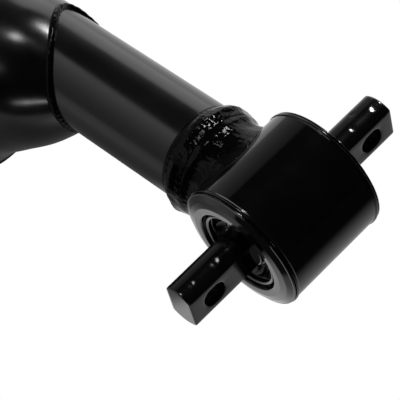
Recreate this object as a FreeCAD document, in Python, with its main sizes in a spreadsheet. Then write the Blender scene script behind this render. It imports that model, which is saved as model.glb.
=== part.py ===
import FreeCAD, Part
import math
import os
from FreeCAD import Placement, Rotation, Vector

# Telescopic hydraulic strut: a twin-tube damper with a rubber-bushed bar pin at its lower end, a tilted
# spring seat on its outer tube and a threaded stud on its rod. Millimetres.
# The origin is the middle of the bar pin, where the tube's axis crosses it. +X runs along the tube towards
# the rod, +Y along the bar pin, +Z up. The strut is drawn fully extended.

os.makedirs("parts", exist_ok=True)
doc = FreeCAD.newDocument("Strut")

DIMENSIONS = [
    # bar pin and bush, about the Y axis
    ("bar_radius", 11.5), ("bar_length", 137.4), ("bar_chamfer", 0.8), ("lug_thickness", 15.6),
    ("lug_start", 27), ("lug_slot_radius", 5.25), ("lug_slot_length", 13), ("lug_slot_spacing", 108.2),
    ("rubber_bore", 11.56), ("rubber_radius", 25.2), ("rubber_half", 27.9), ("recess_radius", 19),
    ("recess_floor", 25), ("retainer_bore", 19.4), ("retainer_radius", 21.3), ("retainer_start", 28),
    ("retainer_end", 30.4),
    ("sleeve_bore", 25.25), ("sleeve_radius", 28.2), ("sleeve_half", 27.9),
    # eye housing
    ("eye_bore", 28.25), ("eye_radius", 33.8), ("eye_half", 28), ("lip_radius", 34.2), ("lip_width", 1.4),
    ("ring_bore", 22.6), ("ring_radius", 33.7), ("ring_face_radius", 28.5), ("root_radius", 31.5),
    ("groove_width", 0.5), ("ring_shoulder", 1.3), ("ring_width", 3.8),
    # base cap and its welds, about the X axis from here on
    ("cap_radius", 25), ("cap_root_radius", 20), ("cap_start", 22), ("cap_shoulder", 40),
    ("spigot_radius", 23.3), ("spigot_end", 62), ("sump_radius", 15), ("sump_floor", 57.5),
    ("weld_ring_radius", 22.8), ("weld_bead", 6.4), ("weld_ring_x", 47),
    ("eye_weld_radius", 27.6), ("eye_weld_neck", 24.5), ("eye_weld_start", 22), ("eye_weld_middle", 33),
    ("eye_weld_end", 41),
    # tubes
    ("tube_radius", 25.4), ("tube_bore", 23.4), ("tube_start", 52), ("tube_end", 335), ("curl_bore", 21),
    ("curl_start", 333.2), ("pressure_bore", 17.5), ("pressure_radius", 19), ("pressure_end", 312),
    # spring seat, about an axis tilted from X: turn is the way it leans, measured from +Y towards +Z
    ("seat_x", 129.3), ("seat_tilt", 17.8), ("seat_turn", -43.4), ("seat_root_radius", 20),
    ("bowl_depth", 26), ("bowl_radius", 35), ("wall_depth", 46), ("wall_radius", 42.3),
    ("flare_depth", 64), ("flare_radius", 48.8), ("mouth_depth", 80), ("mouth_radius", 59),
    ("rim_depth", 85), ("rim_lip", 3), ("seat_wall", 3),
    ("seat_hole", 25.45), ("seat_weld_radius", 27.4), ("seat_weld_start", 4), ("seat_weld_end", 9.5),
    # base valve
    ("valve_flange_end", 66), ("valve_radius", 17.4), ("valve_end", 72), ("bolt_radius", 3),
    ("bolt_hole", 3.05), ("intake_circle", 13.7), ("intake_hole", 1.6), ("bleed_circle", 8),
    ("bleed_hole", 1.3), ("channel_depth", 2), ("channel_width", 6), ("plate_bore", 11.6),
    ("plate_radius", 15.8), ("plate_thickness", 0.8), ("plate_lift", 1), ("star_gap", 1.3),
    ("star_thickness", 0.4), ("star_radius", 14.5), ("disc_radius", 10.5), ("disc_thickness", 1.2),
    ("bolt_collar", 4.6), ("bolt_head_radius", 6.5), ("bolt_head", 3), ("small_nut_height", 2),
    ("small_nut_radius", 5.6),
    # piston and rod, fully extended
    ("piston_start", 274), ("piston_length", 14), ("piston_radius", 17.3), ("groove_radius", 16.2),
    ("groove_inset", 2), ("band_radius", 17.45), ("band_bore", 16.25), ("band_inset", 2.1),
    ("shank_radius", 5.8), ("shank_start", 265), ("rod_shoulder", 290.6), ("rod_radius", 9),
    ("rod_end", 500), ("stud_radius", 6), ("stud_end", 545), ("pilot_radius", 4.6), ("pilot_length", 5),
    ("piston_nut_start", 266), ("piston_nut_end", 272.2), ("piston_nut_radius", 10.4),
    ("shank_bore", 5.85), ("rebound_disc_radius", 12), ("groove_tool_radius", 18.3), ("stop_bore", 9.02),
    ("bolt_tip", 0.4),
    ("stop_start", 293), ("stop_end", 297), ("stop_radius", 13.5), ("bumper_start", 297.1),
    ("bumper_end", 305.6), ("bumper_radius", 14.5), ("bumper_bore", 9.3),
    # head end
    ("guide_start", 306), ("guide_end", 324), ("guide_radius", 23.3), ("guide_bore", 10.6),
    ("guide_spigot", 17.4), ("bush_radius", 10.55), ("bush_bore", 9.05), ("bush_inset", 1.5),
    ("o_ring_radius", 22.3), ("o_ring_section", 1.0), ("o_ring_x", 319), ("o_ring_groove", 1.15),
    ("seal_start", 324.1), ("seal_end", 330), ("seal_radius", 22.8), ("seal_bore", 9.06),
    ("pocket_bore", 10.6), ("pocket_radius", 12.9), ("pocket_start", 327.4), ("garter_radius", 11.75),
    ("garter_section", 0.9), ("garter_x", 328.5), ("plate_start", 330.1), ("plate_end", 333.1),
    ("closing_radius", 23.2), ("closing_bore", 9.8), ("striker_start", 322), ("striker_bore", 25.45),
    ("striker_radius", 27), ("striker_floor", 335.1), ("striker_end", 337.2), ("striker_hole", 10.2),
]

sheet = doc.addObject("Spreadsheet::Sheet", "Dims")
for row, (alias, value) in enumerate(DIMENSIONS, start=1):
    sheet.set(f"A{row}", alias)
    sheet.set(f"B{row}", str(value))
    sheet.setAlias(f"B{row}", alias)
doc.recompute()

ALONG_X = Rotation(Vector(0, 1, 0), 90)
ALONG_Y = Rotation(Vector(1, 0, 0), -90)
nodes = []


def bind(obj, **expressions):
    """Bind properties to sheet expressions, in which an alias is written as =alias."""
    for prop, text in expressions.items():
        obj.setExpression(prop, str(text).replace("=", "Dims."))
    return obj


def primitive(kind, name, turn):
    obj = doc.addObject(f"Part::{kind}", name)
    obj.Placement = Placement(Vector(), turn)
    return obj


def span(obj, axis, start, end):
    bind(obj, Height=f"({end}) - ({start})")
    obj.setExpression(f"Placement.Base.{axis}", str(start).replace("=", "Dims."))
    return obj


def rod(name, radius, start, end, axis="x"):
    turn = ALONG_X if axis == "x" else ALONG_Y
    return span(bind(primitive("Cylinder", name, turn), Radius=radius), axis, start, end)


def cone(name, radius_start, radius_end, start, end, axis="x"):
    turn = ALONG_X if axis == "x" else ALONG_Y
    obj = bind(primitive("Cone", name, turn), Radius1=radius_start, Radius2=radius_end)
    return span(obj, axis, start, end)


def hexagon(name, radius, start, end):
    obj = bind(primitive("Prism", name, ALONG_X), Circumradius=radius)
    obj.Polygon = 6
    return span(obj, "x", start, end)


def torus(name, radius, section, at, axis="x"):
    obj = bind(primitive("Torus", name, ALONG_X if axis == "x" else ALONG_Y), Radius1=radius, Radius2=section)
    obj.setExpression(f"Placement.Base.{axis}", str(at).replace("=", "Dims."))
    return obj


def box(name, low, high):
    """A box between two corners, each a tuple of three expressions."""
    obj = doc.addObject("Part::Box", name)
    for axis, prop, start, end in zip("xyz", ("Length", "Width", "Height"), low, high):
        bind(obj, **{prop: f"({end}) - ({start})"})
        obj.setExpression(f"Placement.Base.{axis}", str(start).replace("=", "Dims."))
    return obj


def fuse(name, *pieces):
    obj = doc.addObject("Part::MultiFuse", name)
    obj.Shapes = list(pieces)
    return obj


def cut(name, base, *tools):
    obj = doc.addObject("Part::Cut", name)
    obj.Base = base
    obj.Tool = tools[0] if len(tools) == 1 else fuse(name + "_tools", *tools)
    return obj


def common(name, first, second):
    obj = doc.addObject("Part::Common", name)
    obj.Base = first
    obj.Tool = second
    return obj


def carrier(name, obj):
    """Holds one object, so that a placement can be given to it as a whole."""
    holder = doc.addObject("Part::Compound", name)
    holder.Links = [obj]
    return holder


def pipe(name, outer, bore, start, end, axis="x"):
    wall = rod(name + "_outer", outer, start, end, axis)
    return cut(name, wall, rod(name + "_bore", bore, start, end, axis))


def hole_circle(name, count, circle, radius, start, end):
    """Holes along X, evenly spaced on a circle round the X axis."""
    holes = []
    for index in range(count):
        hole = rod(f"{name}_{index}", radius, start, end)
        angle = 360 * index / count
        hole.setExpression("Placement.Base.y", f"Dims.{circle} * cos({angle} deg)")
        hole.setExpression("Placement.Base.z", f"Dims.{circle} * sin({angle} deg)")
        holes.append(hole)
    return holes


def mirror(name, obj):
    """The same piece on the other side of the plane y = 0."""
    twin = doc.addObject("Part::Mirroring", name)
    twin.Source = obj
    twin.Normal = Vector(0, 1, 0)
    return twin


def node(label, obj):
    obj.Label = label
    nodes.append(obj)
    return obj


# ---------------------------------------------------------------- bar pin and bush
def bar_pin():
    half = "=bar_length / 2"
    shaft = rod("bar_shaft", "=bar_radius", f"-({half} - =bar_chamfer)", f"{half} - =bar_chamfer", "y")
    tips = [
        cone("bar_tip_right", "=bar_radius - =bar_chamfer", "=bar_radius", f"-({half})",
             f"-({half} - =bar_chamfer)", "y"),
        cone("bar_tip_left", "=bar_radius", "=bar_radius - =bar_chamfer", f"{half} - =bar_chamfer",
             half, "y"),
    ]
    tools = []
    for side, sign in (("left", 1), ("right", -1)):
        y_low, y_high = ("=lug_start", half) if sign > 0 else (f"-({half})", "-=lug_start")
        for face, (x_low, x_high) in {"front": ("=lug_thickness / 2", "=bar_radius"),
                                      "back": ("-=bar_radius", "-=lug_thickness / 2")}.items():
            tools.append(box(f"lug_flat_{side}_{face}", (x_low, y_low, "-=bar_radius"),
                             (x_high, y_high, "=bar_radius")))
        middle = f"({sign} * =lug_slot_spacing / 2)"
        reach = "(=lug_slot_length / 2 - =lug_slot_radius)"
        tools.append(box(f"lug_slot_{side}", ("-=bar_radius", f"{middle} - {reach}", "-=lug_slot_radius"),
                         ("=bar_radius", f"{middle} + {reach}", "=lug_slot_radius")))
        for end, way in (("inner", -sign), ("outer", sign)):
            hole = rod(f"lug_slot_{side}_{end}", "=lug_slot_radius", "-=bar_radius", "=bar_radius")
            hole.setExpression("Placement.Base.y", f"{middle} + {way} * {reach}".replace("=", "Dims."))
            tools.append(hole)
    node("bar_pin", cut("bar_pin", fuse("bar_blank", shaft, *tips), *tools))


def bush():
    recesses = [rod("recess_left", "=recess_radius", "=recess_floor", "=rubber_half", "y"),
                rod("recess_right", "=recess_radius", "-=rubber_half", "-=recess_floor", "y")]
    body = rod("rubber_blank", "=rubber_radius", "-=rubber_half", "=rubber_half", "y")
    bore = rod("rubber_bore_tool", "=rubber_bore", "-=rubber_half", "=rubber_half", "y")
    node("bush_rubber", cut("bush_rubber", body, bore, *recesses))
    node("bush_outer_sleeve",
         pipe("bush_outer_sleeve", "=sleeve_radius", "=sleeve_bore", "-=sleeve_half", "=sleeve_half", "y"))
    left = pipe("bush_retainer_left", "=retainer_radius", "=retainer_bore", "=retainer_start",
                "=retainer_end", "y")
    node("bush_retainer_left", left)
    node("bush_retainer_right", mirror("bush_retainer_right", left))


def eye_blank(name):
    """The eye housing before it is bored: a barrel with a low lip round each end."""
    return fuse(name,
                rod(name + "_barrel", "=eye_radius", "-=eye_half", "=eye_half", "y"),
                rod(name + "_lip_left", "=lip_radius", "=eye_half - =lip_width", "=eye_half", "y"),
                rod(name + "_lip_right", "=lip_radius", "-=eye_half", "=lip_width - =eye_half", "y"))


def eye():
    blank = eye_blank("eye_blank")
    bore = rod("eye_bore_tool", "=eye_bore", "-=eye_half", "=eye_half", "y")
    node("eye_housing", cut("eye_housing", blank, bore))
    groove, shoulder = "(=eye_half + =groove_width)", "(=eye_half + =ring_shoulder)"
    face = "(=eye_half + =ring_width)"
    ring = fuse("end_ring_blank",
                rod("end_ring_root", "=root_radius", "=eye_half", groove, "y"),
                rod("end_ring_flange", "=ring_radius", groove, shoulder, "y"),
                cone("end_ring_bevel", "=ring_radius", "=ring_face_radius", shoulder, face, "y"))
    left = cut("eye_end_ring_left", ring, rod("end_ring_bore", "=ring_bore", "=eye_half", face, "y"))
    node("eye_end_ring_left", left)
    node("eye_end_ring_right", mirror("eye_end_ring_right", left))


# ---------------------------------------------------------------- base cap and welds
def base():
    dome = cone("cap_dome", "=cap_root_radius", "=cap_radius", "=cap_start", "=cap_shoulder")
    skirt = rod("cap_skirt", "=cap_radius", "=cap_shoulder", "=tube_start")
    spigot = rod("cap_spigot", "=spigot_radius", "=tube_start", "=spigot_end")
    sump = rod("cap_sump", "=sump_radius", "=sump_floor", "=spigot_end")
    channels = [
        box("cap_channel_y", ("=spigot_end - =channel_depth", "-=spigot_radius", "-=channel_width / 2"),
            ("=spigot_end", "=spigot_radius", "=channel_width / 2")),
        box("cap_channel_z", ("=spigot_end - =channel_depth", "-=channel_width / 2", "-=spigot_radius"),
            ("=spigot_end", "=channel_width / 2", "=spigot_radius")),
    ]
    node("base_cap", cut("base_cap", fuse("cap_blank", dome, skirt, spigot), sump, *channels,
                         eye_blank("cap_eye")))
    bead = torus("cap_bead", "=weld_ring_radius", "=weld_bead", "=weld_ring_x")
    inside = fuse("cap_bead_inside",
                  rod("cap_bead_cap", "=cap_radius", "=cap_shoulder", "=tube_start"),
                  rod("cap_bead_tube", "=tube_radius", "=tube_start", "=tube_start + =weld_bead"))
    node("base_cap_weld", cut("base_cap_weld", bead, inside))
    fillet = fuse("eye_fillet",
                  cone("eye_fillet_flare", "=eye_weld_neck", "=eye_weld_radius", "=eye_weld_start",
                       "=eye_weld_middle"),
                  rod("eye_fillet_band", "=eye_weld_radius", "=eye_weld_middle", "=eye_weld_end"))
    core = fuse("eye_fillet_core",
                cone("fillet_core_dome", "=cap_root_radius", "=cap_radius", "=cap_start", "=cap_shoulder"),
                rod("fillet_core_skirt", "=cap_radius", "=cap_shoulder", "=eye_weld_end"))
    beads = torus("fillet_bead_space", "=weld_ring_radius", "=weld_bead", "=weld_ring_x")
    node("eye_weld", cut("eye_weld", fillet, core, beads, eye_blank("weld_eye")))


# ---------------------------------------------------------------- tubes
def tubes():
    wall = pipe("tube_wall", "=tube_radius", "=tube_bore", "=tube_start", "=tube_end")
    curl = pipe("tube_curl", "=tube_bore", "=curl_bore", "=curl_start", "=tube_end")
    node("reserve_tube", fuse("reserve_tube", wall, curl))
    node("pressure_tube",
         pipe("pressure_tube", "=pressure_radius", "=pressure_bore", "=valve_flange_end", "=pressure_end"))


# ---------------------------------------------------------------- spring seat
def tilt(obj):
    turn = math.radians(sheet.get("seat_turn"))
    obj.Placement = Placement(Vector(), Rotation(Vector(0, -math.sin(turn), math.cos(turn)), 1))
    obj.setExpression("Placement.Base.x", "Dims.seat_x")
    obj.setExpression("Placement.Rotation.Angle", "Dims.seat_tilt * 1 deg")
    return obj


def bowl(name, inset):
    """The bowl's solid shape about X: four cones and an upright rim, all drawn in by the inset."""
    profile = [("0", "=seat_root_radius"), ("=bowl_depth", "=bowl_radius"), ("=wall_depth", "=wall_radius"),
               ("=flare_depth", "=flare_radius"), ("=mouth_depth", "=mouth_radius"),
               ("=rim_depth", "=mouth_radius")]
    pieces = []
    for index, ((start, radius_start), (end, radius_end)) in enumerate(zip(profile, profile[1:])):
        label, low, high = f"{name}_{index}", f"{radius_start} - {inset}", f"{radius_end} - {inset}"
        straight = radius_start == radius_end
        pieces.append(rod(label, low, start, end) if straight else cone(label, low, high, start, end))
    return fuse(name, *pieces)


def spring_seat():
    """A pressed bowl with an outward lip, cut round the tube and welded to it."""
    lip = rod("seat_lip", "=mouth_radius + =rim_lip", "=rim_depth - =seat_wall", "=rim_depth")
    outer = fuse("seat_outer", bowl("seat_bowl", "0"), lip)
    shell = tilt(cut("seat_shell", outer, bowl("seat_hollow", "=seat_wall")))
    node("spring_seat", cut("spring_seat", shell, rod("seat_tube", "=seat_hole", "=tube_start", "=tube_end")))
    slab = rod("seat_weld_slab", "=wall_radius", "=seat_weld_start", "=seat_weld_end")
    band = pipe("seat_weld_band", "=seat_weld_radius", "=tube_radius", "=tube_start", "=tube_end")
    ring = common("seat_weld_ring", tilt(carrier("seat_weld_plane", slab)), band)
    bowl_space = tilt(carrier("seat_weld_bowl", bowl("weld_bowl", "0")))
    node("spring_seat_weld", cut("spring_seat_weld", ring, bowl_space))


# ---------------------------------------------------------------- base valve
def base_valve():
    flange = rod("valve_flange", "=pressure_radius", "=spigot_end", "=valve_flange_end")
    land = rod("valve_land", "=valve_radius", "=valve_flange_end", "=valve_end")
    holes = hole_circle("valve_intake", 8, "intake_circle", "=intake_hole", "=spigot_end", "=valve_end")
    holes += hole_circle("valve_bleed", 6, "bleed_circle", "=bleed_hole", "=spigot_end", "=valve_end")
    holes.append(rod("valve_bolt_hole", "=bolt_hole", "=spigot_end", "=valve_end"))
    node("base_valve_body", cut("base_valve_body", fuse("valve_blank", flange, land), *holes))
    node("base_valve_intake_plate",
         pipe("base_valve_intake_plate", "=plate_radius", "=plate_bore", "=valve_end",
              "=valve_end + =plate_thickness"))
    star_start = "(=valve_end + =plate_thickness + =star_gap)"
    head_start = f"({star_start} + =star_thickness)"
    node("base_valve_star_spring",
         pipe("base_valve_star_spring", "=star_radius", "=bolt_hole", star_start, head_start))
    discs_start = "(=spigot_end - =disc_thickness)"
    node("base_valve_discs",
         pipe("base_valve_discs", "=disc_radius", "=bolt_hole", discs_start, "=spigot_end"))
    nut_start = f"({discs_start} - =small_nut_height)"
    blank = hexagon("valve_nut_blank", "=small_nut_radius", nut_start, discs_start)
    node("base_valve_nut",
         cut("base_valve_nut", blank, rod("valve_nut_bore", "=bolt_hole", nut_start, discs_start)))
    node("base_valve_bolt",
         fuse("base_valve_bolt",
              rod("valve_bolt_shank", "=bolt_radius", f"{nut_start} - =bolt_tip", head_start),
              rod("valve_bolt_collar", "=bolt_collar", "=valve_end", star_start),
              rod("valve_bolt_head", "=bolt_head_radius", head_start, f"{head_start} + =bolt_head")))


# ---------------------------------------------------------------- piston and rod
def piston():
    end = "(=piston_start + =piston_length)"
    blank = rod("piston_blank", "=piston_radius", "=piston_start", end)
    groove = pipe("piston_groove", "=groove_tool_radius", "=groove_radius", "=piston_start + =groove_inset",
                  f"{end} - =groove_inset")
    holes = hole_circle("piston_intake", 8, "intake_circle", "=intake_hole", "=piston_start", end)
    holes += hole_circle("piston_bleed", 6, "bleed_circle", "=bleed_hole", "=piston_start", end)
    holes.append(rod("piston_bore", "=shank_bore", "=piston_start", end))
    node("piston", cut("piston", blank, groove, *holes))
    node("piston_band", pipe("piston_band", "=band_radius", "=band_bore", "=piston_start + =band_inset",
                             f"{end} - =band_inset"))
    node("piston_rebound_discs",
         pipe("piston_rebound_discs", "=rebound_disc_radius", "=shank_bore", "=piston_nut_end",
              "=piston_start"))
    node("piston_check_plate",
         pipe("piston_check_plate", "=plate_radius", "=plate_bore", end, f"{end} + =plate_thickness"))
    spring_start = f"({end} + =plate_thickness + =star_gap)"
    node("piston_star_spring",
         pipe("piston_star_spring", "=star_radius", "=shank_bore", spring_start,
              f"{spring_start} + =star_thickness"))
    blank = hexagon("piston_nut_blank", "=piston_nut_radius", "=piston_nut_start", "=piston_nut_end")
    bore = rod("piston_nut_bore", "=shank_bore", "=piston_nut_start", "=piston_nut_end")
    node("piston_nut", cut("piston_nut", blank, bore))


def piston_rod():
    pilot_start = "(=stud_end - =pilot_length)"
    node("piston_rod",
         fuse("piston_rod",
              rod("rod_shank", "=shank_radius", "=shank_start", "=rod_shoulder"),
              rod("rod_bar", "=rod_radius", "=rod_shoulder", "=rod_end"),
              rod("rod_stud", "=stud_radius", "=rod_end", pilot_start),
              cone("rod_pilot", "=stud_radius", "=pilot_radius", pilot_start, "=stud_end")))
    node("rebound_stop_ring",
         pipe("rebound_stop_ring", "=stop_radius", "=stop_bore", "=stop_start", "=stop_end"))
    node("rebound_bumper",
         pipe("rebound_bumper", "=bumper_radius", "=bumper_bore", "=bumper_start", "=bumper_end"))


# ---------------------------------------------------------------- head end
def head():
    blank = fuse("guide_blank", rod("guide_land", "=guide_spigot", "=guide_start", "=pressure_end"),
                 rod("guide_flange", "=guide_radius", "=pressure_end", "=guide_end"))
    groove = torus("guide_groove", "=o_ring_radius", "=o_ring_groove", "=o_ring_x")
    bore = rod("guide_bore_tool", "=guide_bore", "=guide_start", "=guide_end")
    node("rod_guide", cut("rod_guide", blank, groove, bore))
    node("guide_o_ring", torus("guide_o_ring", "=o_ring_radius", "=o_ring_section", "=o_ring_x"))
    node("rod_guide_bush", pipe("rod_guide_bush", "=bush_radius", "=bush_bore", "=guide_start + =bush_inset",
                                "=guide_end - =bush_inset"))
    seal = rod("seal_blank", "=seal_radius", "=seal_start", "=seal_end")
    pocket = pipe("seal_pocket", "=pocket_radius", "=pocket_bore", "=pocket_start", "=seal_end")
    seal_hole = rod("seal_bore_tool", "=seal_bore", "=seal_start", "=seal_end")
    node("rod_seal", cut("rod_seal", seal, pocket, seal_hole))
    node("seal_garter_spring", torus("seal_garter_spring", "=garter_radius", "=garter_section", "=garter_x"))
    node("closing_plate",
         pipe("closing_plate", "=closing_radius", "=closing_bore", "=plate_start", "=plate_end"))
    node("striker_cap",
         cut("striker_cap", rod("striker_blank", "=striker_radius", "=striker_start", "=striker_end"),
             rod("striker_cup", "=striker_bore", "=striker_start", "=striker_floor"),
             rod("striker_hole_tool", "=striker_hole", "=striker_floor", "=striker_end")))


for build in (bar_pin, bush, eye, base, tubes, spring_seat, base_valve, piston, piston_rod, head):
    build()
doc.recompute()

failed = [obj.Name for obj in doc.Objects if {"Invalid", "Error"} & set(obj.State)]
if failed:
    raise RuntimeError(f"these objects did not recompute: {failed}")
for obj in nodes:
    if obj.Shape.isNull() or not obj.Shape.isValid() or not obj.Shape.Solids:
        raise RuntimeError(f"{obj.Label} has no valid solid")
for obj in nodes:
    obj.Shape.exportStep(f"parts/{obj.Label}.step")
    print(f"{obj.Label}: {len(obj.Shape.Solids)} solid, {obj.Shape.Volume / 1000:.2f} cm3")
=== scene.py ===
import math

import bmesh
import bpy
from mathutils import Matrix, Quaternion, Vector, noise


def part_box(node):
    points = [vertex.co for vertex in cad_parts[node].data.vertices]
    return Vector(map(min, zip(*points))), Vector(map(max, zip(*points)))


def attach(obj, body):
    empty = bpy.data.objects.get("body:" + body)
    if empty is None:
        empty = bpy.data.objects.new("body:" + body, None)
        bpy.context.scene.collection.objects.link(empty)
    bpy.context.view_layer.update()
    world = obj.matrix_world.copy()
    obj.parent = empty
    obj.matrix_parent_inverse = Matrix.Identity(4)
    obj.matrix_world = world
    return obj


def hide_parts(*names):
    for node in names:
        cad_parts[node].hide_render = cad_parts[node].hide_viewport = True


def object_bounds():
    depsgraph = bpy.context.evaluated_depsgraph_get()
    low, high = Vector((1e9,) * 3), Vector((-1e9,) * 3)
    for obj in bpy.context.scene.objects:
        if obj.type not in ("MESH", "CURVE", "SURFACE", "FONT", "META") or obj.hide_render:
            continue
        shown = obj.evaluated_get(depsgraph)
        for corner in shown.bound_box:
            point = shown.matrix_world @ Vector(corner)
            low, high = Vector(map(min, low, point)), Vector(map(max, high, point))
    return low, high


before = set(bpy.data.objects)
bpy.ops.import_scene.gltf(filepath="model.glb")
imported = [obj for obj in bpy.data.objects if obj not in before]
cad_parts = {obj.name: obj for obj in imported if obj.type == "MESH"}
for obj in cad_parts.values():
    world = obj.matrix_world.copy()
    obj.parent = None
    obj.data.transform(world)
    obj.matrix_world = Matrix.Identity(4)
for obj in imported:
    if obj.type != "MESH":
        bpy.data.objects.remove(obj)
cad_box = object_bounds()

# The strut's looks, in the CAD frame: +X along the tube towards the rod, +Y along the bar pin, +Z up, with
# the origin in the middle of the bar pin. Sizes below are in millimetres, and the mesh helpers scale them.
MM = 0.001
TURN = 2 * math.pi


def extent(node):
    """A CAD node's lowest and highest corners, in millimetres."""
    low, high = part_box(node)
    return low / MM, high / MM


# ================================================================ materials
def new_material(name):
    """A material with an empty node tree, and that tree."""
    material = bpy.data.materials.new(name)
    material.use_nodes = True
    tree = material.node_tree
    tree.nodes.clear()
    return material, tree


def link_node(tree, kind, inputs=None, **settings):
    """Adds a node, sets its properties, and sets or links its inputs by name or index."""
    made = tree.nodes.new(kind)
    for name, value in settings.items():
        setattr(made, name, value)
    for key, value in (inputs or {}).items():
        if isinstance(value, bpy.types.NodeSocket):
            tree.links.new(value, made.inputs[key])
        else:
            made.inputs[key].default_value = value
    return made


DUST = (0.16, 0.155, 0.15, 1)


def mix_colours(tree, share, first, second):
    """Goes from the first colour to the second as the share goes from 0 to 1."""
    made = link_node(tree, "ShaderNodeMix", {"Factor": share, 6: first, 7: second}, data_type="RGBA")
    return made.outputs[2]


def finish(name, colour, tint, roughness, grain, bump, stretch=(1, 1, 1), waves=None, specks=0.0,
           metallic=0.0, **sockets):
    """A surface whose colour and roughness wander slowly, with a fine grain in its bump.

    colour and tint are the two colours it wanders between, and roughness its two limits. grain is in
    cycles per metre, stretched along X, Y and Z, and bump its depth in metres. waves is a second, coarser
    grain and its depth. specks is how much dust or pitting shows.
    """
    material, tree = new_material(name)
    place = link_node(tree, "ShaderNodeTexCoord").outputs["Object"]
    slow = link_node(tree, "ShaderNodeTexNoise",
                     {"Vector": place, "Scale": 45, "Detail": 5, "Roughness": 0.6})
    slow_level = slow.outputs["Fac"]
    drawn = link_node(tree, "ShaderNodeMapping", {"Vector": place, "Scale": stretch}).outputs["Vector"]
    fine = link_node(tree, "ShaderNodeTexNoise",
                     {"Vector": drawn, "Scale": grain, "Detail": 4, "Roughness": 0.55})
    dust = link_node(tree, "ShaderNodeTexNoise", {"Vector": place, "Scale": 1900, "Detail": 1})
    spots = link_node(tree, "ShaderNodeMapRange",
                      {"Value": dust.outputs["Fac"], "From Min": 0.69, "From Max": 0.76, "To Max": specks})
    blend = link_node(tree, "ShaderNodeMapRange", {"Value": slow_level, "From Min": 0.3, "From Max": 0.7})
    clean = mix_colours(tree, blend.outputs["Result"], (*colour, 1), (*tint, 1))
    dusty = mix_colours(tree, spots.outputs["Result"], clean, DUST)
    rough = link_node(tree, "ShaderNodeMapRange", {"Value": slow_level, "From Min": 0.3, "From Max": 0.7,
                                                   "To Min": roughness[0], "To Max": roughness[1]})
    rougher = link_node(tree, "ShaderNodeMath", {0: rough.outputs["Result"], 1: spots.outputs["Result"]},
                        operation="ADD", use_clamp=True)
    height = link_node(tree, "ShaderNodeBump",
                       {"Height": fine.outputs["Fac"], "Distance": bump, "Strength": 1})
    if waves:
        swell = link_node(tree, "ShaderNodeTexNoise", {"Vector": place, "Scale": waves[0], "Detail": 2})
        height = link_node(tree, "ShaderNodeBump", {"Height": swell.outputs["Fac"], "Distance": waves[1],
                                                    "Strength": 1, "Normal": height.outputs["Normal"]})
    shader = link_node(tree, "ShaderNodeBsdfPrincipled",
                       {"Base Color": dusty, "Roughness": rougher.outputs["Value"],
                        "Normal": height.outputs["Normal"], "Metallic": metallic, **sockets})
    link_node(tree, "ShaderNodeOutputMaterial", {"Surface": shader.outputs["BSDF"]})
    return material


INK = (0.0022, 0.0022, 0.0024)
SOOT = (0.0045, 0.0044, 0.0046)
FINISHES = {
    "eye_paint": finish("eye_paint", INK, SOOT, (0.07, 0.12), 900, 4e-6,
                        waves=(140, 1.2e-5), specks=0.02),
    "gloss_paint": finish("gloss_paint", INK, SOOT, (0.05, 0.11), 1100, 4e-6,
                          waves=(260, 1.5e-5), specks=0.02),
    "weld_paint": finish("weld_paint", INK, (0.003, 0.003, 0.003), (0.04, 0.10), 1300, 8e-6,
                         waves=(560, 1.6e-4), specks=0.02, **{"Specular IOR Level": 0.08}),
    "pin_paint": finish("pin_paint", INK, (0.006, 0.005, 0.005), (0.10, 0.18), 1500, 4e-6,
                        waves=(120, 1.2e-5), specks=0.03),
    "tube_paint": finish("tube_paint", SOOT, (0.006, 0.0058, 0.006), (0.17, 0.22), 2200, 2e-6,
                         waves=(500, 4e-6), specks=0.015),
    "seat_paint": finish("seat_paint", INK, SOOT, (0.16, 0.24), 1600, 4e-6, waves=(180, 1e-5), specks=0.015),
    "rubber": finish("rubber", (0.004, 0.004, 0.004), (0.008, 0.0078, 0.0078), (0.10, 0.2), 1400, 5e-6,
                     waves=(300, 5e-5), specks=0.02),
    "steel": finish("steel", (0.46, 0.45, 0.43), (0.33, 0.32, 0.31), (0.26, 0.4), 260, 4e-6,
                    stretch=(14, 1, 1), metallic=1.0),
    "chrome": finish("chrome", (0.74, 0.75, 0.76), (0.66, 0.67, 0.69), (0.05, 0.09), 300, 6e-7,
                     stretch=(12, 1, 1), metallic=1.0),
    "spring_steel": finish("spring_steel", (0.20, 0.19, 0.19), (0.11, 0.12, 0.15), (0.25, 0.36), 900, 3e-6,
                           metallic=1.0),
    "sintered": finish("sintered", (0.17, 0.165, 0.155), (0.10, 0.095, 0.09), (0.5, 0.68), 3200, 2.5e-5,
                       specks=0.25, metallic=1.0),
    "bronze": finish("bronze", (0.36, 0.25, 0.14), (0.28, 0.19, 0.10), (0.32, 0.45), 2400, 6e-6,
                     metallic=1.0),
    "ptfe": finish("ptfe", (0.05, 0.075, 0.06), (0.075, 0.105, 0.085), (0.4, 0.5), 1200, 5e-6,
                   specks=0.1),
    "urethane": finish("urethane", (0.55, 0.42, 0.2), (0.62, 0.49, 0.27), (0.4, 0.55), 900, 1.2e-5,
                       specks=0.05),
    "seal_rubber": finish("seal_rubber", (0.018, 0.018, 0.019), (0.03, 0.03, 0.031), (0.45, 0.6), 2000, 1e-5,
                          specks=0.08),
}


# ================================================================ mesh helpers
def rounded(corners, arc=6, closed=True):
    """An outline through corners (along, radius, bend), each corner rounded by its bend."""
    outline = []
    for index, (along, radius, bend) in enumerate(corners):
        here = Vector((along, radius))
        if bend == 0 or (not closed and index in (0, len(corners) - 1)):
            outline.append(here)
            continue
        before = Vector(corners[index - 1][:2]) - here
        after = Vector(corners[(index + 1) % len(corners)][:2]) - here
        reach = bend / math.tan(before.angle(after) / 2)
        reach = min(reach, 0.49 * before.length, 0.49 * after.length)
        start, end = here + before.normalized() * reach, here + after.normalized() * reach
        for step in range(arc + 1):
            share = step / arc
            outline.append(start * (1 - share) ** 2 + here * 2 * share * (1 - share) + end * share ** 2)
    return outline


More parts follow.
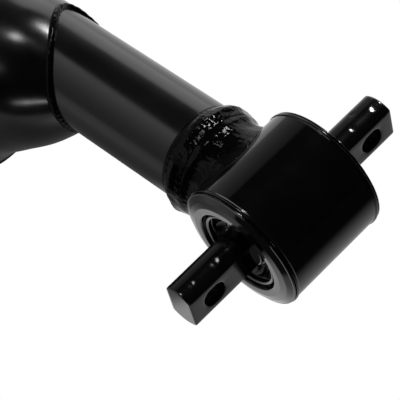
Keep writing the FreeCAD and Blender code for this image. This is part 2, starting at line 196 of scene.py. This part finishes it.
def dense(outline, spacing, closed=True):
    """The same outline with no two points further apart than the spacing."""
    points = []
    ends = outline[1:] + outline[:1] if closed else outline[1:]
    for start, end in zip(outline, ends):
        parts = max(1, math.ceil((end - start).length / spacing))
        points += [start.lerp(end, part / parts) for part in range(parts)]
    return points if closed else points + [outline[-1]]


def outward(outline):
    """The normals of a closed outline, pointing out of it."""
    area = sum(a.x * b.y - b.x * a.y for a, b in zip(outline, outline[1:] + outline[:1]))
    sign = 1 if area > 0 else -1
    normals = []
    for index in range(len(outline)):
        run = outline[(index + 1) % len(outline)] - outline[index - 1]
        normals.append(sign * Vector((run.y, -run.x)).normalized())
    return normals


def skin(rings, closed=True):
    """A mesh between rings of points in millimetres, each ring joined to the next and the last to the first.

    A closed ring's last point is joined to its first.
    """
    mesh = bmesh.new()
    made = [[mesh.verts.new(point * MM) for point in ring] for ring in rings]
    count = len(made[0])
    for ring, following in zip(made, made[1:] + made[:1]):
        for index in range(count if closed else count - 1):
            after = (index + 1) % count
            mesh.faces.new((ring[index], ring[after], following[after], following[index]))
    bmesh.ops.remove_doubles(mesh, verts=mesh.verts, dist=1e-7)
    bmesh.ops.recalc_face_normals(mesh, faces=mesh.faces)
    return mesh


def revolve(outline, axis, segments, shape=None, closed=True):
    """Turns an outline of (along, radius) points round an axis.

    shape(point, normal, angle) may move a point. An outline that isn't closed starts and ends on the axis.
    """
    normals = outward(outline)
    rings = []
    for step in range(segments):
        angle = TURN * step / segments
        ring = []
        for point, normal in zip(outline, normals):
            along, radius = shape(point, normal, angle) if shape else point
            side, rise = radius * math.cos(angle), radius * math.sin(angle)
            ring.append(Vector((along, side, rise)) if axis == "x" else Vector((rise, along, side)))
        rings.append(ring)
    return skin(rings, closed)


def piece(name, mesh, material, body, flat=True):
    """Makes a mesh into a piece that rides on a body and stands for the CAD node of its own name."""
    data = bpy.data.meshes.new(name)
    mesh.to_mesh(data)
    mesh.free()
    data.shade_smooth()
    made = bpy.data.objects.new(name, data)
    bpy.context.scene.collection.objects.link(made)
    data.materials.append(FINISHES[material])
    if flat:
        made.modifiers.new("flat_faces", "WEIGHTED_NORMAL").keep_sharp = True
    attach(made, body)
    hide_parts(name)


def lumps(x, y, z, size, seed=0.0):
    """Smooth noise from -1 to 1 whose bumps are about that size."""
    return noise.noise(Vector((x / size + seed, y / size, z / size)))


def smooth_step(value):
    """Climbs from 0 to 1 with level ends, and stays there beyond them."""
    value = min(max(value, 0.0), 1.0)
    return value * value * (3 - 2 * value)


# ================================================================ eye, bush and bar pin
def eye_housing():
    """The rolled cross tube, with a low lip round each end."""
    _, high = extent("eye_housing")
    half, lip = high.y, high.z
    wall, bore, lip_width, slope, waviness = lip - 0.5, 28.25, 1.2, 0.6, 0.035
    side = [(half, bore, 0.3), (half, lip, 0.55), (half - lip_width, lip, 0.45),
            (half - lip_width - slope, wall, 0.5)]
    corners = side + [(-along, radius, bend) for along, radius, bend in reversed(side)]
    outline = dense(rounded(corners), 2.4)

    def rolled(point, normal, angle):
        wave = lumps(point.x, 34 * math.cos(angle), 34 * math.sin(angle), 15)
        return point + normal * waviness * wave if point.y > bore + 1 else point

    piece("eye_housing", revolve(outline, "y", 224, rolled), "eye_paint", "cylinder")


def end_rings():
    """A pressed ring over each end of the bush: a flange with a groove under it and a convex face."""
    low, high = extent("eye_end_ring_left")
    inner, outer = low.y, high.y
    flange, bore, root, groove, sheet, waviness = high.z, 22.6, 31.5, 0.5, 0.8, 0.05
    front = inner + groove + sheet
    corners = [(inner, bore + 0.7, 0.2), (inner, root, 0), (inner + groove, root, 0.2),
               (inner + groove, flange, 0.3), (front, flange, 0.35),
               (front + 0.1, flange - 0.8, 0.3), (outer - 0.8, flange - 3.6, 3.0),
               (outer, flange - 7.0, 2.5), (outer - 0.1, bore + 0.3, 0.9), (outer - 1.6, bore, 0.6)]
    for side, sign in (("left", 1), ("right", -1)):
        outline = dense(rounded([(sign * y, r, bend) for y, r, bend in corners]), 1.6)

        def pressed(point, normal, angle, seed=sign * 7.0):
            wave = lumps(point.x, 30 * math.cos(angle), 30 * math.sin(angle), 9, seed)
            return point + normal * waviness * wave if point.y > bore + 0.5 else point

        piece(f"eye_end_ring_{side}", revolve(outline, "y", 224, pressed), "gloss_paint", "cylinder")


def retainers():
    """A thin ring inside each end ring, with a rounded outer face."""
    low, high = extent("bush_retainer_left")
    inner, outer, bore, rim = low.y, high.y, 19.5, 21.2
    for side, sign in (("left", 1), ("right", -1)):
        corners = [(sign * inner, bore + 0.1, 0.5), (sign * inner, rim, 0.3),
                   (sign * (outer - 0.3), rim, 0.6), (sign * outer, rim - 0.8, 0.8),
                   (sign * (outer - 0.4), bore, 0.5)]
        piece(f"bush_retainer_{side}", revolve(rounded(corners), "y", 192), "gloss_paint", "cylinder")


def bush_rubber():
    """A bonded rubber bush whose ends are hollowed between the bar pin and the retaining rings."""
    _, high = extent("bush_rubber")
    half, bore, outer, fold_depth = high.y, 11.56, high.z, 0.7
    side = [(half - 2.9, bore, 0.4), (half - 2.6, bore + 1.2, 0.8), (half - 5.5, bore + 2.6, 1.4),
            (half - 5.2, bore + 5.4, 1.6), (half - 0.3, bore + 8.2, 1.2), (half, outer - 4.6, 0.6),
            (half, outer, 0.5)]
    corners = side + [(-along, radius, bend) for along, radius, bend in reversed(side)]
    outline = dense(rounded(corners), 1.0)

    def moulded(point, normal, angle):
        across, rise = point.y * math.cos(angle), point.y * math.sin(angle)
        deep = smooth_step((abs(point.x) - half + 8) / 3)
        inside = smooth_step((point.y - bore - 0.4) / 1.0) * smooth_step((outer - 5 - point.y) / 1.5)
        folds = 0.5 * math.sin(7 * angle + 2 * lumps(across, rise, 0, 9))
        folds += 0.8 * lumps(across, rise, point.x, 6)
        return point + normal * deep * inside * fold_depth * (folds - 0.5)

    piece("bush_rubber", revolve(outline, "y", 224, moulded), "rubber", "cylinder", flat=False)


PIN_FLAT, PIN_SHANK = 7.8, 27.0
SLOT_CENTRE, SLOT_RADIUS, SLOT_OFFSET = 54.1, 5.25, 1.25
# Forging dents in each lug's round sides: their places along X and Y, and their sizes.
DENTS = {1: ((-2.1, 46.0, 2.5), (-2.1, 61.0, 1.8), (-4.4, 40.0, 2.0)),
         -1: ((-2.0, 64.0, 2.4), (-2.2, 48.5, 1.8), (4.0, 55.0, 2.0))}


def sinking(across, y, z, sign):
    """How far the forged skin lies under the bar's true radius at a place on a lug's round side."""
    depth, unevenness, dent_depth = 0.05, 0.03, 0.14
    sunk = depth + unevenness * lumps(across, y, z, 9.0, sign * 3.0)
    for dent_x, dent_y, size in DENTS[sign]:
        near = math.hypot(across - dent_x, 0.7 * (y - dent_y)) / size
        sunk += dent_depth * size * smooth_step(1 - near)
    return sunk


def lug(section, radius, half, sign):
    """A flattened end of the bar, built in rings that run from its slot out to its walls and back."""
    squareness, segments = 36, 320
    rings = []
    for step in range(segments):
        angle = TURN * step / segments
        reach_y = half - SLOT_CENTRE if math.cos(angle) > 0 else SLOT_CENTRE - PIN_SHANK + 1
        run, rise = abs(math.cos(angle)), abs(math.sin(angle))
        slot = SLOT_OFFSET * run + math.sqrt(SLOT_RADIUS ** 2 - (SLOT_OFFSET * rise) ** 2)
        if slot * run < SLOT_OFFSET:
            slot = SLOT_RADIUS / rise
        ring = []
        for across, share in section:
            top = math.sqrt(radius ** 2 - min(abs(across), PIN_FLAT) ** 2)
            bound = ((run / reach_y) ** squareness + (rise / top) ** squareness) ** (-1 / squareness)
            reach = slot + (bound - slot) * share
            y, z = SLOT_CENTRE + reach * math.cos(angle), reach * math.sin(angle)
            on_round_side = share > 0.97 and abs(z) > 0.9 * top
            if on_round_side:
                z -= math.copysign(sinking(across, y, z, sign), z)
            ring.append(Vector((across, sign * y, z)))
        rings.append(ring)
    return skin(rings)


def bar_pin():
    """A round bar whose ends are flattened into lugs, each with a slot for a bolt through it."""
    _, high = extent("bar_pin")
    half, radius, edge = high.y, high.z, 0.6
    end = PIN_SHANK + 0.5
    shank = rounded([(-end, 0, 0), (-end, radius, 0.8), (end, radius, 0.8), (end, 0, 0)], closed=False)
    mesh = revolve(shank, "y", 128, closed=False)
    section = dense(rounded([(PIN_FLAT, 0, 0.5), (PIN_FLAT, 1, edge), (-PIN_FLAT, 1, edge),
                             (-PIN_FLAT, 0, 0.5)], 5), 0.9)
    for sign in (1, -1):
        made = lug(section, radius, half, sign)
        data = bpy.data.meshes.new("lug")
        made.to_mesh(data)
        made.free()
        mesh.from_mesh(data)
        bpy.data.meshes.remove(data)
    piece("bar_pin", mesh, "pin_paint", "mount_pin")


# ================================================================ welds
RIPPLE_HEIGHT, RIPPLE_MEAN, WELD_SINK = 0.10, 0.6, 0.3


def swelling(x, y, z):
    """The uneven height of poured weld metal, the same over both beads so that they run together."""
    return 0.65 * lumps(x, y, z, 8.5) + 0.12 * lumps(x, y, z, 2.8, 4.0) + 0.02 * lumps(x, y, z, 1.1, 9.0)


def ripple(angle, across, radius, pitch):
    """The overlapping crescents of a weld bead, from 0 to 1, at a place across the bead from -1 to 1."""
    phase = angle * round(TURN * radius / pitch) / TURN + 0.9 * across * across
    return (1 - abs(2 * (phase % 1) - 1)) ** 0.8


def base_cap_weld():
    """The heavy bead that closes the tube's lower end."""
    low, high = extent("base_cap_weld")
    middle, crest, foot = (low.x + high.x) / 2, high.z, 24.9
    half = (high.x - low.x) / 2
    start, end, bend = middle - half, middle + half, 2.0
    top = [(start - 1.4, foot + 3.0), (middle - half * 0.5, 28.6), (middle, crest + 0.2),
           (middle + half * 0.55, crest - 0.9), (middle + half * 0.98, 26.9), (end + 0.9, foot + 0.9),
           (end + 1.1, foot + 0.9), (end + 2.1, foot + 0.8), (end + 2.4, foot - 0.3)]
    corners = [(x, r, bend) for x, r in top] + [(end, foot - 2, 0), (start, foot - 2, 0)]
    outline = dense(rounded(corners), 0.45)

    def poured(point, normal, angle):
        across = (point.x - middle) / half
        stands = smooth_step((point.y - foot) / 2.0)
        y, z = point.y * math.cos(angle), point.y * math.sin(angle)
        height = RIPPLE_HEIGHT * (ripple(angle + 0.12 * lumps(y, z, 0, 8), across, crest, 3.6) - RIPPLE_MEAN)
        height += swelling(point.x, y, z)
        return point + normal * stands * (height - WELD_SINK)

    piece("base_cap_weld", revolve(outline, "x", 520, poured), "weld_paint", "cylinder",
          flat=False)


def eye_weld():
    """The fillet between the eye and the base cap. It follows the eye's round wall."""
    end, eye_radius, core, height, waist = 42.3, 33.75, 23.4, 27.6, 1.3
    steps, segments = 30, 420
    rings = []
    for step in range(segments):
        angle = TURN * step / segments
        outer, inner = [], []
        for index in range(steps + 1):
            share = index / steps
            rise = height - waist * math.sin(math.pi * min(share * 1.25, 1)) + 0.4 * share * share
            y, z = rise * math.cos(angle), rise * math.sin(angle)
            toe = math.sqrt(eye_radius ** 2 - z ** 2)
            x = toe + (end - toe) * share
            crescents = RIPPLE_HEIGHT * (ripple(angle, 1.2 - 1.4 * share, rise, 3.1) - RIPPLE_MEAN)
            rise += crescents * math.sin(math.pi * share)
            rise += swelling(x, y, z) - WELD_SINK
            outer.append((x, rise))
            inner.append((x, core))
        ring = outer + inner[::-1]
        rings.append([Vector((x, r * math.cos(angle), r * math.sin(angle))) for x, r in ring])
    piece("eye_weld", skin(rings), "weld_paint", "cylinder", flat=False)


# ================================================================ tube and spring seat
def reserve_tube():
    """The outer tube, its upper end rolled in over the closing plate."""
    low, high = extent("reserve_tube")
    radius, bore, mouth, wall, start, end = high.z, 23.4, 21, 1.8, low.x, high.x
    corners = [(start, bore, 0.3), (start, radius, 0.5), (end, radius, 2.2), (end, mouth, 0.6),
               (end - wall, mouth, 0.6), (end - wall, bore, 0.5)]
    piece("reserve_tube", revolve(dense(rounded(corners), 12), "x", 256), "tube_paint", "cylinder")


SEAT_PLACE = Vector((129.3, 0, 0))
SEAT_TILT, SEAT_TURN = math.radians(17.8), math.radians(-43.4)
SEAT_ROTATION = Quaternion(Vector((0, -math.sin(SEAT_TURN), math.cos(SEAT_TURN))), SEAT_TILT)
SEAT_OUTLINE = [(-14, 9), (0, 20), (26, 35), (46, 42.3), (64, 48.8), (80, 59.0), (96, 70)]
SEAT_WALL = 3.0


def seat_curve(share):
    """A point of the bowl's outer outline, a smooth curve: share 0 is the root and 1 the mouth."""
    spans = len(SEAT_OUTLINE) - 3
    place = min(max(share, 0.0), 1.0) * spans
    index = min(int(place), spans - 1)
    t = place - index
    before, start, end, after = (Vector(point) for point in SEAT_OUTLINE[index:index + 4])
    return 0.5 * (2 * start + (end - before) * t + (2 * before - 5 * start + 4 * end - after) * t * t
                  + (3 * start - before - 3 * end + after) * t ** 3)


def seat_point(share, angle, inset=0.0):
    """A point of the bowl's outer face, or of its inner face with an inset."""
    depth, radius = seat_curve(share)
    nearby = 0.01
    run = seat_curve(min(share + nearby, 1.0)) - seat_curve(max(share - nearby, 0.0))
    normal = Vector((-run.y, run.x)).normalized()
    depth, radius = depth - normal.x * inset, radius - normal.y * inset
    return SEAT_PLACE + SEAT_ROTATION @ Vector((depth, radius * math.cos(angle), radius * math.sin(angle)))


def seat_start(angle, radius, inset=0.0):
    """The share at which the bowl leaves a cylinder of that radius round the tube's axis."""
    low, high, halvings = 0.0, 1.0, 30
    for _ in range(halvings):
        middle = (low + high) / 2
        point = seat_point(middle, angle, inset)
        low, high = (middle, high) if math.hypot(point.y, point.z) < radius else (low, middle)
    return high


def spring_seat():
    """A pressed bowl, open towards the rod, with a rolled rim. It is cut round the tube."""
    tube, steps, segments = 25.45, 42, 260
    depth, mouth, flange = 85.0, 59.0, 82.2
    rim = rounded([(80, mouth, 1.5), (flange, mouth + 0.2, 0.8), (flange, mouth + 3, 0.9),
                   (depth, mouth + 3, 1.2), (depth, mouth - SEAT_WALL, 1.2),
                   (79, mouth - SEAT_WALL - 0.6, 1)], closed=False)[1:-1]
    rings = []
    for step in range(segments):
        angle = TURN * step / segments
        first, last = seat_start(angle, tube), seat_start(angle, tube, SEAT_WALL)
        outer = [seat_point(first + (1 - first) * index / steps, angle) for index in range(steps)]
        inner = [seat_point(last + (0.985 - last) * index / steps, angle, SEAT_WALL)
                 for index in range(steps)]
        lip = [SEAT_PLACE + SEAT_ROTATION @ Vector((x, r * math.cos(angle), r * math.sin(angle)))
               for x, r in rim]
        rings.append(outer + lip + inner[::-1])
    piece("spring_seat", skin(rings), "seat_paint", "cylinder", flat=False)


def spring_seat_weld():
    """A bead along the line where the bowl's outer face leaves the tube."""
    segments, sides, section, tube, ridge, pitch = 420, 20, 2.1, 25.5, 0.25, 3.0
    track = [seat_point(seat_start(TURN * step / segments, tube), TURN * step / segments)
             for step in range(segments)]
    rings = []
    for step, centre in enumerate(track):
        run = (track[(step + 1) % segments] - track[step - 1]).normalized()
        radial = Vector((0, centre.y, centre.z)).normalized()
        side = run.cross(radial).normalized()
        ring = []
        for index in range(sides):
            angle = TURN * index / sides
            swell = ridge * ripple(TURN * step / segments, math.sin(angle), 27, pitch)
            point = centre + (radial * math.cos(angle) + side * math.sin(angle)) * (section - ridge + swell)
            ring.append(point + radial * 0.2 * lumps(*point, 4.0))
        rings.append(ring)
    piece("spring_seat_weld", skin(rings), "weld_paint", "cylinder", flat=False)


# ================================================================ rod and head end
def piston_rod():
    """A chromed rod, turned down and threaded for the piston at one end and the upper mount at the other."""
    low, high = extent("piston_rod")
    radius, shank, stud, pitch, depth = high.z, 5.8, 6.0, 1.25, 0.38
    shoulder, stud_start, tip, steps_per_turn = 290.6, 500.0, 4.6, 8
    threads = ((low.x + 0.6, low.x + 8.4, shank), (stud_start + 2.5, high.x - 5.2, stud))
    corners = [[(low.x, 0, 0), (low.x, shank - 0.7, 0.2)],
               [(shoulder, shank, 0), (shoulder, radius - 0.4, 0.3), (shoulder + 0.6, radius, 0.6),
                (stud_start - 1.4, radius, 0.8), (stud_start, radius - 2.0, 0.6), (stud_start, stud, 0.5)],
               [(high.x - 5.0, stud, 0.3), (high.x, tip, 0.5), (high.x, 0, 0)]]
    outline = []
    for index, part in enumerate(corners):
        outline += dense(rounded(part, closed=False), 6.0, closed=False)
        if index < len(threads):
            start, end, size = threads[index]
            count = math.ceil((end - start) / pitch * steps_per_turn)
            outline += [Vector((start + (end - start) * step / count, size)) for step in range(count + 1)]

    def threaded(point, normal, angle):
        for start, end, size in threads:
            if start <= point.x <= end:
                turn = (point.x / pitch - angle / TURN) % 1
                fade = smooth_step((point.x - start) / pitch) * smooth_step((end - point.x) / pitch)
                return Vector((point.x, size - depth * fade * (1 - abs(2 * turn - 1))))
        return point

    piece("piston_rod", revolve(outline, "x", 96, threaded, closed=False), "chrome", "rod")


def striker_cap():
    """The pressed cap over the tube's upper end, with a ring-shaped land that the bump stop meets."""
    low, high = extent("striker_cap")
    start, end, radius, bore, ceiling, hole = low.x, high.x, high.z, 25.45, 335.1, 10.2
    valley = end - 0.6
    corners = [(start, bore, 0.3), (start, radius, 0.6), (end - 1.2, radius, 1.5),
               (end, radius - 2.6, 1.2), (end, 19.0, 0.5), (valley, 17.6, 0.5), (valley, 13.0, 0.5),
               (end, 11.8, 0.4), (end, hole, 0.4), (ceiling, hole, 0.3), (ceiling, bore, 0.8)]
    outline = dense(rounded(corners), 3.0)
    piece("striker_cap", revolve(outline, "x", 224), "tube_paint", "cylinder")


for build in (eye_housing, end_rings, retainers, bush_rubber, bar_pin, base_cap_weld, eye_weld, reserve_tube,
              spring_seat, spring_seat_weld, piston_rod, striker_cap):
    build()

# ================================================================ CAD nodes that keep their shape
KEPT = {
    "bush_outer_sleeve": "steel", "base_cap": "gloss_paint", "pressure_tube": "steel",
    "base_valve_body": "sintered", "base_valve_intake_plate": "spring_steel",
    "base_valve_star_spring": "spring_steel", "base_valve_discs": "spring_steel", "base_valve_nut": "steel",
    "base_valve_bolt": "steel", "piston": "sintered", "piston_band": "ptfe",
    "piston_rebound_discs": "spring_steel", "piston_check_plate": "spring_steel",
    "piston_star_spring": "spring_steel", "piston_nut": "steel",
    "rebound_stop_ring": "steel", "rebound_bumper": "urethane", "rod_guide": "sintered",
    "guide_o_ring": "seal_rubber", "rod_guide_bush": "bronze", "rod_seal": "seal_rubber",
    "seal_garter_spring": "spring_steel", "closing_plate": "steel",
}
for node, material in KEPT.items():
    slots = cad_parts[node].data.materials
    slots.clear()
    slots.append(FINISHES[material])

# ================================================================ studio
def facing(tree, direction, toward):
    """How far the direction points toward something: the cosine between them."""
    dot = link_node(tree, "ShaderNodeVectorMath", {0: direction, 1: toward}, operation="DOT_PRODUCT")
    return dot.outputs["Value"]


def softbox(tree, direction, toward, up, half_width, half_height, edge, radiance, fade=1.0, curve=1.0):
    """A soft-edged panel of light seen in the direction toward.

    Its half sizes and the width of its edge are tangents of the angles from its middle. fade is its
    radiance at the foot, as a share of that at the top, and curve the power with which it climbs
    from one to the other.
    """
    toward = Vector(toward).normalized()
    across = Vector(up).cross(toward).normalized()
    rise = toward.cross(across)
    ahead = facing(tree, direction, toward)
    masks = []
    for axis, half in ((across, half_width), (rise, half_height)):
        slope = link_node(tree, "ShaderNodeMath", {0: facing(tree, direction, axis), 1: ahead},
                          operation="DIVIDE")
        size = link_node(tree, "ShaderNodeMath", {0: slope.outputs["Value"]}, operation="ABSOLUTE")
        masks.append(link_node(tree, "ShaderNodeMapRange", {
            "Value": size.outputs["Value"], "From Min": half + edge, "From Max": half - edge},
            interpolation_type="SMOOTHSTEP").outputs["Result"])
    climb = link_node(tree, "ShaderNodeMapRange", {
        "Value": slope.outputs["Value"], "From Min": -half_height, "From Max": half_height}).outputs["Result"]
    bent = link_node(tree, "ShaderNodeMath", {0: climb, 1: curve}, operation="POWER").outputs["Value"]
    level = link_node(tree, "ShaderNodeMath", {0: bent, 1: (1 - fade) * radiance, 2: fade * radiance},
                      operation="MULTIPLY_ADD").outputs["Value"]
    in_front = link_node(tree, "ShaderNodeMath", {0: ahead, 1: 0.0}, operation="GREATER_THAN")
    for mask in (*masks, in_front.outputs["Value"]):
        level = product(tree, level, mask)
    return level


def ramp(tree, value, start, end, low, high):
    """Goes smoothly from low to high while the value goes from start to end."""
    return link_node(tree, "ShaderNodeMapRange", {
        "Value": value, "From Min": start, "From Max": end, "To Min": low, "To Max": high},
        interpolation_type="SMOOTHSTEP").outputs["Result"]


def product(tree, first, second):
    """The two levels multiplied."""
    return link_node(tree, "ShaderNodeMath", {0: first, 1: second}, operation="MULTIPLY").outputs["Value"]


def rest(tree, value):
    """What is left of 1 when a level is taken away."""
    return link_node(tree, "ShaderNodeMath", {0: 1.0, 1: value}, operation="SUBTRACT").outputs["Value"]


def total(tree, levels):
    """All the levels added."""
    level = levels[0]
    for more in levels[1:]:
        level = link_node(tree, "ShaderNodeMath", {0: level, 1: more}, operation="ADD").outputs["Value"]
    return level


def studio_world():
    """A pale backdrop to the eye. In reflections, a dark room with broad softboxes in it."""
    world = bpy.data.worlds.new("studio")
    bpy.context.scene.world = world
    world.use_nodes = True
    tree = world.node_tree
    tree.nodes.clear()
    direction = link_node(tree, "ShaderNodeTexCoord").outputs["Generated"]
    upright, flat, soft, crisp, room = (0, 0, 1), (1, 0, 0), 0.05, 0.012, 0.010
    lit = total(tree, [
        softbox(tree, direction, (0.55, -0.80, 0.22), upright, 0.38, 0.31, soft, 1.5),
        softbox(tree, direction, (0.93, -0.16, 0.34), upright, 0.58, 0.47, soft, 0.12, fade=3.2),
        softbox(tree, direction, (0.573, 0.683, 0.454), upright, 0.58, 0.55, soft, 1.3, fade=0.19,
                curve=2.6),
        softbox(tree, direction, (0.22, -0.06, 0.97), flat, 0.07, 0.07, crisp, 16.0),
        softbox(tree, direction, (0.16, -0.61, 0.78), flat, 0.07, 0.05, crisp, 90.0),
        softbox(tree, direction, (-0.40, 0.91, 0.03), upright, 0.06, 0.025, crisp, 16.0),
    ])
    level = link_node(tree, "ShaderNodeMath", {0: lit, 1: room}, operation="ADD").outputs["Value"]
    seen = link_node(tree, "ShaderNodeLightPath").outputs["Is Camera Ray"]
    strength = link_node(tree, "ShaderNodeMix", {"Factor": seen, 2: level, 3: 1.0}, data_type="FLOAT")
    light = link_node(tree, "ShaderNodeBackground", {"Color": (1, 1, 1, 1), "Strength": strength.outputs[0]})
    link_node(tree, "ShaderNodeOutputWorld", {"Surface": light.outputs["Background"]})


def floor_light(tree, level):
    """The floor's glow in reflections, painted light and painted shadow: bright pools and dark patches and
    bands, placed in metres along X and Y.
    """
    place = link_node(tree, "ShaderNodeTexCoord").outputs["Object"]
    split = link_node(tree, "ShaderNodeSeparateXYZ", {"Vector": place})
    along, across = split.outputs["X"], split.outputs["Y"]

    def distance(x, y):
        spot = link_node(tree, "ShaderNodeVectorMath", {0: place, 1: (x, y, level)}, operation="DISTANCE")
        return spot.outputs["Value"]

    slant = facing(tree, place, (-2.2, 1.0, 0.0))
    # painted shade: the floor's glow fades to dark away from the eye, towards -X
    front = ramp(tree, along, -0.155, -0.05, 0.04, 1.0)
    # painted light: a bright pool beside the pin that falls off outwards
    painted_light_beside_pin = ramp(tree, distance(0.045, 0.07), 0.05, 0.085, 1.1, 0.55)
    # painted shade: a small dark spot just past the pin
    painted_shade_past_pin = ramp(tree, distance(0.061, 0.104), 0.007, 0.017, 0.87, 0.08)
    # painted shadow: the floor darkened in a broad band under the tube
    painted_shadow_under_tube = product(tree, ramp(tree, along, 0.085, 0.12, 0.0, 0.75), product(
        tree, ramp(tree, across, 0.30, 0.05, 0.0, 1.0), ramp(tree, across, -0.06, -0.02, 0.0, 1.0)))
    # painted light: a brighter band on the floor beside the tube, towards -Y
    painted_light_far_side = product(tree, ramp(tree, along, 0.02, 0.06, 0.0, 0.4),
                       ramp(tree, across, -0.03, -0.08, 0.0, 1.0))
    # painted shade: a darkened corner of the floor, towards +Y and -X
    corner = product(tree, ramp(tree, slant, 0.045, 0.085, 0.0, 0.92),
                     ramp(tree, across, 0.11, 0.14, 0.0, 1.0))
    lit = product(tree, front, total(tree, [painted_light_beside_pin, painted_light_far_side]))
    for shade in (painted_shadow_under_tube, corner, painted_shade_past_pin):
        lit = product(tree, lit, rest(tree, shade))
    return lit


def floor():
    """A white floor just under the strut, clear to the eye so that a rod swung below it still shows. In
    reflections it glows, with painted light and painted shadow.
    """
    level, reach = cad_box[0][2] - 0.0005, 6.0
    mesh = bmesh.new()
    mesh.faces.new([mesh.verts.new((x * reach, y * reach, level))
                    for x, y in ((-1, -1), (1, -1), (1, 1), (-1, 1))])
    data = bpy.data.meshes.new("floor")
    mesh.to_mesh(data)
    mesh.free()
    made = bpy.data.objects.new("floor", data)
    bpy.context.scene.collection.objects.link(made)
    material, tree = new_material("floor")
    # painted light: the floor glows in reflections with the painted pools and shadows of floor_light
    glow = link_node(tree, "ShaderNodeEmission",
                     {"Color": (1, 1, 1, 1), "Strength": floor_light(tree, level)})
    clear = link_node(tree, "ShaderNodeBsdfTransparent")
    seen = link_node(tree, "ShaderNodeLightPath").outputs["Is Camera Ray"]
    surface = link_node(tree, "ShaderNodeMixShader",
                        {0: seen, 1: glow.outputs["Emission"], 2: clear.outputs["BSDF"]})
    link_node(tree, "ShaderNodeOutputMaterial", {"Surface": surface.outputs["Shader"]})
    data.materials.append(material)


def camera():
    """Looks down at the eye from in front of it and to its left, through a long lens. Place in metres."""
    place = Vector((-0.4094, 0.2935, 0.6686))
    right, back = Vector((-0.703, -0.687, -0.187)), Vector((-0.524, 0.322, 0.788)).normalized()
    right = (right - back * right.dot(back)).normalized()
    up = back.cross(right)
    data = bpy.data.cameras.new("camera")
    data.lens, data.sensor_width = 162, 36
    made = bpy.data.objects.new("camera", data)
    made.matrix_world = Matrix.Translation(place) @ Matrix((right, up, back)).transposed().to_4x4()
    bpy.context.scene.collection.objects.link(made)
    bpy.context.scene.camera = made


studio_world()
floor()
camera()
bpy.context.scene.view_settings.view_transform = "Standard"
